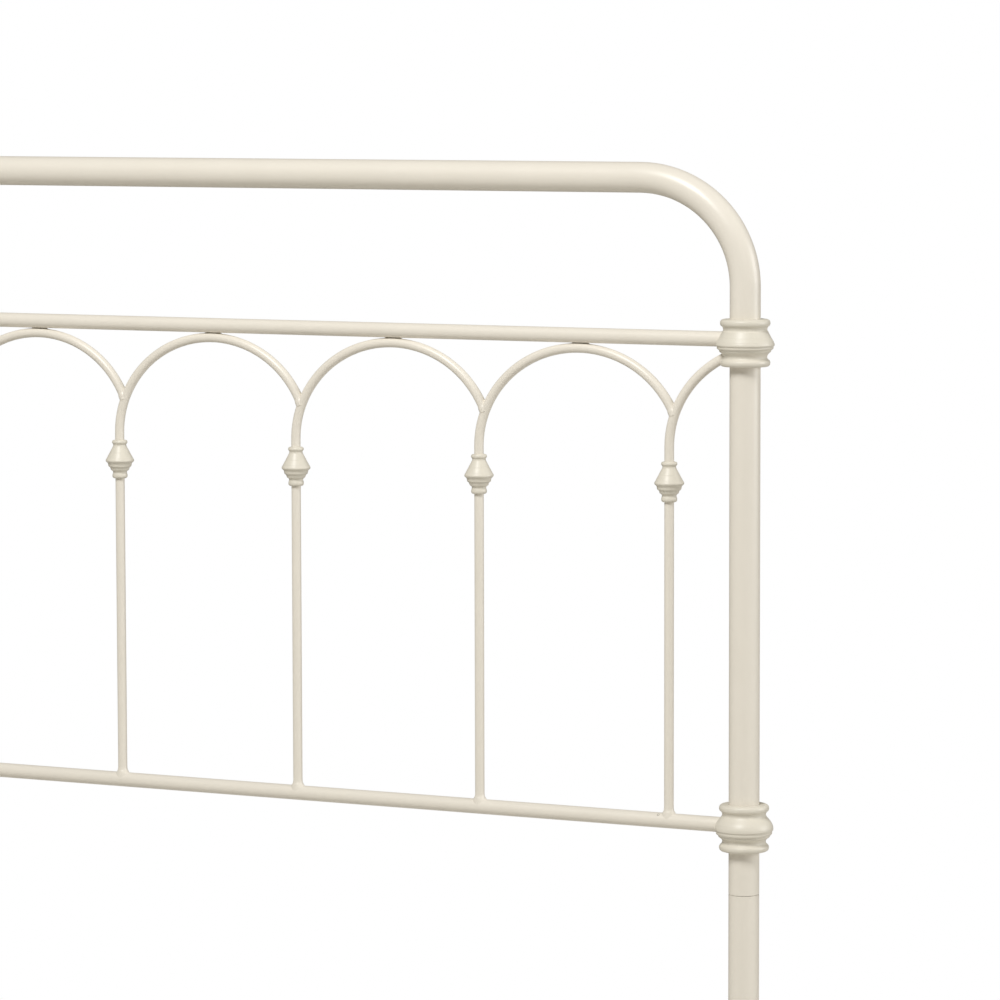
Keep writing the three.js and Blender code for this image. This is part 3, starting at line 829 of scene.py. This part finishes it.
# %% Side rails
def hook_outline(way, z):
    """Outline of the hook whose neck lies on height z, at the head end (way 1) or the foot end (-1)."""
    root = way * (END_Y - 1)
    reach = way * WEB_BACK
    return [(root, z), (reach, z), (reach, z - 7), (reach + way * 1.2, z - 7.4), (reach + way * 3.8, z - 6),
            (reach + way * 3.8, z + 10), (reach + way * 2, z + HOOK_HIGH), (root, z + HOOK_HIGH)]


def corner_welds(bm, side, way):
    """Fillet welds along both flanges, inside the corner between the angle and its end plate."""
    fillet = [(0, 0), (way * -3.2, 0), (way * -1.3, 1.0), (0, 3.2)]

    def on_flat_flange(u, v, w):
        return side * w, way * INSIDE_Y + u, LOW + PLATE + v

    def on_upright_flange(u, v, w):
        return side * (OUT - PLATE - v), way * INSIDE_Y + u, w

    slab(bm, fillet, OUT - 34, OUT - 12, on_flat_flange)
    slab(bm, fillet, LOW + 12, LOW + 34, on_upright_flange)


def side_rail(hand):
    side = SIDES[hand]
    node = f"side_rail_{hand}"

    def along(u, v, w):
        return side * u, w, v

    def across(u, v, w):
        return side * w, u, v

    bm = bmesh.new()
    slab(bm, ANGLE, -INSIDE_Y, INSIDE_Y, along)
    for way in (-1, 1):
        plate = box_outline(post_x - HALF, post_x + HALF, *PLATE_Z)
        slab(bm, plate, way * INSIDE_Y, way * END_Y, along, 0.7)
        for z in HOOK_Z:
            slab(bm, hook_outline(way, z), post_x - HOOK_THICK / 2, post_x + HOOK_THICK / 2, across)
        corner_welds(bm, side, way)
    piece(f"{node}_angle", bm, ivory_rails, nodes=[node])


for hand in SIDES:
    side_rail(hand)
print("side rails: 2")


# %% [markdown]
# ## Slats and their support legs
# The slats are box-section tube with rounded corners and closed ends. A round leg is welded under the
# middle of each, and a screw at either end holds the slat to the side rail's flat flange.

# %% Slats
SLAT_HIGH, SLAT_WIDE, CORNER_R = 18, 40, 3
SUPPORT_R, SUPPORT_BORE = 12.7, 11.2
SCREW_X = 746  # from the bed's middle to a slat's screw
SCREW = [(0, -4), (2.2, -4), (2.4, -3.6), (2.4, 0), (5, 0), (5.1, 0.5), (4.6, 1.5), (3.4, 2.2), (1.7, 2.4),
         (1.7, 1), (0, 0.9)]
SLATS = ("head", "middle", "foot")


def rounded_outline(half, bottom, top):
    """A rectangle whose corners are quarter circles."""
    u, v0, v1 = half - CORNER_R, bottom + CORNER_R, top - CORNER_R
    outline = []
    for quarter, (cx, cy) in enumerate(((u, v1), (-u, v1), (-u, v0), (u, v0))):
        for i in range(5):
            angle = math.radians(90 * quarter + 22.5 * i)
            outline.append((cx + CORNER_R * math.cos(angle), cy + CORNER_R * math.sin(angle)))
    return outline


def slat(node):
    y = middle(node)[1]
    floor, top = span(node, 2)
    bottom = top - SLAT_HIGH

    def crosswise(u, v, w):
        return w, y + u, v

    bm = bmesh.new()
    slab(bm, rounded_outline(SLAT_WIDE / 2, bottom, top), *span(node, 0), crosswise)
    foot = [(TAPPED_R, floor), (SUPPORT_R - 0.6, floor), (SUPPORT_R, floor + 0.6)]
    weld = [(SUPPORT_R, bottom - 3.2), (13.1, bottom - 1.7), (14.3, bottom - 0.6), (15.8, bottom + 0.1)]
    inside = [(SUPPORT_BORE, bottom + 0.1), (SUPPORT_BORE, floor + PLUG_HEIGHT),
              (TAPPED_R, floor + PLUG_HEIGHT)]
    spun(bm, foot + weld + inside, 0, y, closed=True)
    piece(f"{node}_box_tube", bm, ivory_rails, nodes=[node])
    for hand, side in SIDES.items():
        bm = bmesh.new()
        button_bolt(bm, SCREW, 0.9, 3.4, Matrix(), (side * SCREW_X, y, top))
        piece(f"{node}_screw_{hand}", bm, zinc)


for place_name in SLATS:
    slat(f"slat_{place_name}")
print("slats: 3, with 6 screws")


# %% [markdown]
# ## Levelling feet
# Each foot is a nylon pad moulded round the head of a threaded stem. The thread is one zigzag as tall as
# its pitch, spun up the stem with a rise of one pitch for every turn, so that each turn joins the next.

# %% Threaded stems
PITCH, THREAD_R, THREAD_DEPTH = 1.5, 4.9, 0.65
STEM_R, TURN_STEPS = 4.2, 20


def thread(bm, x, y, z0, z1):
    root = THREAD_R - THREAD_DEPTH
    turns = round((z1 - z0) / PITCH)
    zigzag = [(root, 0), (THREAD_R, 0.6), (THREAD_R, 0.75), (root, 1.35), (root, PITCH)]
    verts = [bm.verts.new(((x + r) * MM, y * MM, (z0 + h - PITCH / 2) * MM)) for r, h in zigzag]
    edges = [bm.edges.new(pair) for pair in zip(verts, verts[1:])]
    bmesh.ops.spin(bm, geom=verts + edges, cent=(x * MM, y * MM, 0), axis=(0, 0, 1),
                   angle=2 * math.pi * turns, steps=TURN_STEPS * turns, dvec=(0, 0, PITCH / TURN_STEPS * MM))


def stem(node, base):
    x, y = middle(node)[:2]
    high = span(node, 2)[1]
    bm = bmesh.new()
    thread(bm, x, y, base + 1, high - 2)
    core = [(0, base - 0.6), (STEM_R, base - 0.6), (STEM_R, high - 1), (STEM_R - 0.6, high), (0, high)]
    spun(bm, core, x, y, 0, 24)
    piece(f"{node}_stem", bm, zinc, body=node)


# %% Levelling feet
PAD_TOP, PAD_STEPS = 10, 72
FLUTES, FLUTE_DEPTH = 12, 0.035
WIDE_PAD, NARROW_PAD = 17, 15  # radius of the pads under the posts, and under the slats' legs


def flutes(verts, x, y, radius, low, high):
    """Presses finger flutes into the verts on the rim, between two heights."""
    for v in verts:
        dx, dy = v.co.x - x * MM, v.co.y - y * MM
        if math.hypot(dx, dy) > (radius - 1) * MM and low * MM < v.co.z < high * MM:
            shrink = 1 - FLUTE_DEPTH * max(0, math.cos(FLUTES * math.atan2(dy, dx)))
            v.co.x, v.co.y = x * MM + dx * shrink, y * MM + dy * shrink


def levelling_foot(node, radius):
    x, y = middle(node)[:2]
    low = span(node, 2)[0]
    base = [(0, low), (radius - 3.2, low), (radius - 1.4, low + 0.5), (radius - 0.2, low + 1.8),
            (radius, low + 3)]
    rim = [(radius, PAD_TOP - 2), (radius - 0.5, PAD_TOP - 0.6), (radius - 1.8, PAD_TOP)]
    recess = [(8.2, PAD_TOP), (7.6, PAD_TOP - 0.5), (0, PAD_TOP - 0.5)]
    bm = bmesh.new()
    verts = spun(bm, base + rim + recess, x, y, 0, PAD_STEPS)
    flutes(verts, x, y, radius, low + 2, PAD_TOP - 0.3)
    piece(f"{node}_pad", bm, nylon, body=node, nodes=[node])
    stem(node, PAD_TOP)


for end in ("head", "foot"):
    for hand in SIDES:
        levelling_foot(f"leveller_{end}_{hand}", WIDE_PAD)
for place_name in SLATS:
    levelling_foot(f"leveller_slat_{place_name}", NARROW_PAD)
print("levelling feet: 7")


# %% [markdown]
# ## Floor and light
# The floor is plain and pale, and stops behind the headboard. A large softbox stands high in front, a
# second one on the right and a weak one overhead. The world is white where the camera sees it and dimmer
# where it lights the tubes, which leaves their edges a shade darker than their middles.

# %% Floor
FLOOR_HALF, FLOOR_MIDDLE = (4.5, 3.2, 1), (0, -1.35, 0)  # in metres
bm = bmesh.new()
bmesh.ops.create_grid(bm, x_segments=1, y_segments=1, size=1)
bmesh.ops.scale(bm, vec=FLOOR_HALF, verts=bm.verts)
bmesh.ops.translate(bm, vec=FLOOR_MIDDLE, verts=bm.verts)
floor_mesh = bpy.data.meshes.new("floor")
bm.to_mesh(floor_mesh)
bm.free()
floor = bpy.data.objects.new("floor", floor_mesh)
bpy.context.scene.collection.objects.link(floor)
floor_material, tree, output, where = new_material("matt white floor")
mottle = add(tree, "ShaderNodeTexNoise", Vector=where, Scale=per_metre(400), Detail=2.0)
shade = add(tree, "ShaderNodeMix", {"data_type": "RGBA"}, _0=mottle.outputs["Fac"], _6=linear("#DCDAD6"),
            _7=linear("#E0DEDA"))
paint = add(tree, "ShaderNodeBsdfPrincipled", Base_Color=shade.outputs[2], Roughness=0.85)
tree.links.new(paint.outputs[0], output.inputs["Surface"])
floor_mesh.materials.append(floor_material)
print("floor", [round(s, 1) for s in floor.dimensions])


# %% Lights
def area_light(name, size, power, place, target, colour="#FFFFFF"):
    """A rectangular light at a place, in metres, turned to a target."""
    data = bpy.data.lights.new(name, "AREA")
    data.shape, data.size, data.size_y = "RECTANGLE", *size
    data.energy = power
    data.color = linear(colour)[:3]
    light = bpy.data.objects.new(name, data)
    light.location = place
    light.rotation_euler = (Vector(target) - Vector(place)).to_track_quat("-Z", "Y").to_euler()
    bpy.context.scene.collection.objects.link(light)


area_light("overhead softbox", (3.2, 2.6), 18, (1.0, -1.2, 4.2), (0.2, 0.9, 1.0), "#FFFDF8")
area_light("front high softbox", (2.2, 2.2), 345, (0.5, -3.6, 6.0), (0.3, 1.0, 1.0))
area_light("right softbox", (2.8, 2.8), 135, (5.5, 3.0, 2.0), (0.4, 1.0, 0.9))
print("lights:", len(bpy.data.lights))

# %% World
world = bpy.data.worlds.new("studio")
world.use_nodes = True
tree = world.node_tree
tree.nodes.clear()
seen = add(tree, "ShaderNodeBackground", Color=(1, 1, 1, 1), Strength=1.0)
lit = add(tree, "ShaderNodeBackground", Color=linear("#F5EFDF"), Strength=0.22)
path = add(tree, "ShaderNodeLightPath")
mix = add(tree, "ShaderNodeMixShader", _0=path.outputs["Is Camera Ray"], _1=lit.outputs[0],
          _2=seen.outputs[0])
sky = tree.nodes.new("ShaderNodeOutputWorld")
tree.links.new(mix.outputs[0], sky.inputs["Surface"])
bpy.context.scene.world = world
bpy.context.scene.view_settings.view_transform = "Standard"
print("world:", world.name)
